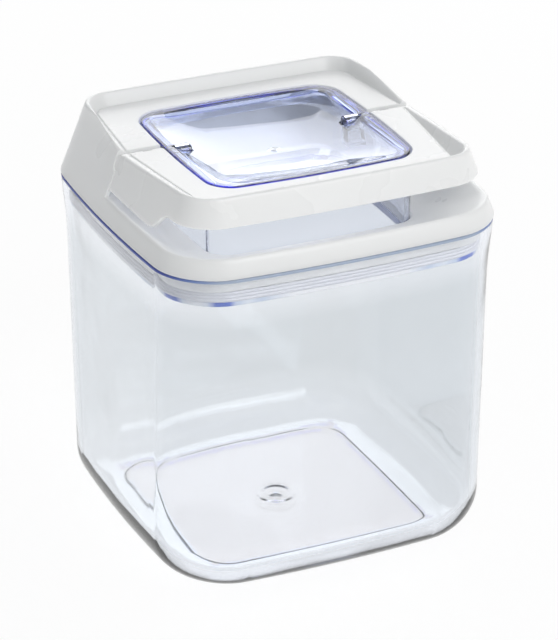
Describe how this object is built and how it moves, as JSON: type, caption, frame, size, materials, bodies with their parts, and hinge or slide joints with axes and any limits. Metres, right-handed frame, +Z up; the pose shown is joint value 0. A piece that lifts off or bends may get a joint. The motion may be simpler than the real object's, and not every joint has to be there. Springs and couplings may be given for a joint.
{
  "type": "food canister",
  "caption": "Square clear storage canister with a flip handle lid; the handle lifts a clear seal plate that squeezes a gasket inside the rim.",
  "frame": {"origin": "centre of the base, on the plane that the foot pad stands on", "axes": "+Z up; +X to the right seen from the front; the finger gap and the front of the handle face -Y"},
  "size_m": [0.11, 0.11, 0.1284],
  "materials": {
    "clear_tub": "clear moulded plastic, gloss",
    "white_shell": "white, satin to gloss",
    "white_handle": "white, satin to gloss",
    "clear_window": "clear moulded plastic, gloss",
    "clear_plate": "clear moulded plastic, gloss",
    "seal": "pale silicone, matt",
    "clear_pin": "clear moulded plastic, gloss, faintly blue"
  },
  "bodies": {
    "tub": {"canister": "clear_tub"},
    "lid": {"lid_frame": "white_shell", "gasket": "seal"},
    "handle": {"flip_handle": "white_handle", "cam_pin_left": "clear_pin", "cam_pin_right": "clear_pin"},
    "plate": {"seal_plate": "clear_plate", "window": "clear_window"}
  },
  "joints": [
    {"name": "lid_lift", "type": "slide", "parent": "tub", "child": "lid", "axis": [0, 0, 1], "range_m": [0, 0.05]},
    {"name": "handle_flip", "type": "hinge", "parent": "lid", "child": "handle", "pos_m": [0, 0.0038, 0.12255], "axis": [-1, 0, 0], "range_deg": [0, 80]},
    {"name": "plate_drop", "type": "slide", "parent": "lid", "child": "plate", "axis": [0, 0, 1], "range_m": [-0.00104, 0], "deforming": ["gasket"]}
  ],
  "couplings": [
    {"joint": "plate_drop", "follows": "handle_flip", "m_per_rad": -0.00073658}
  ]
}
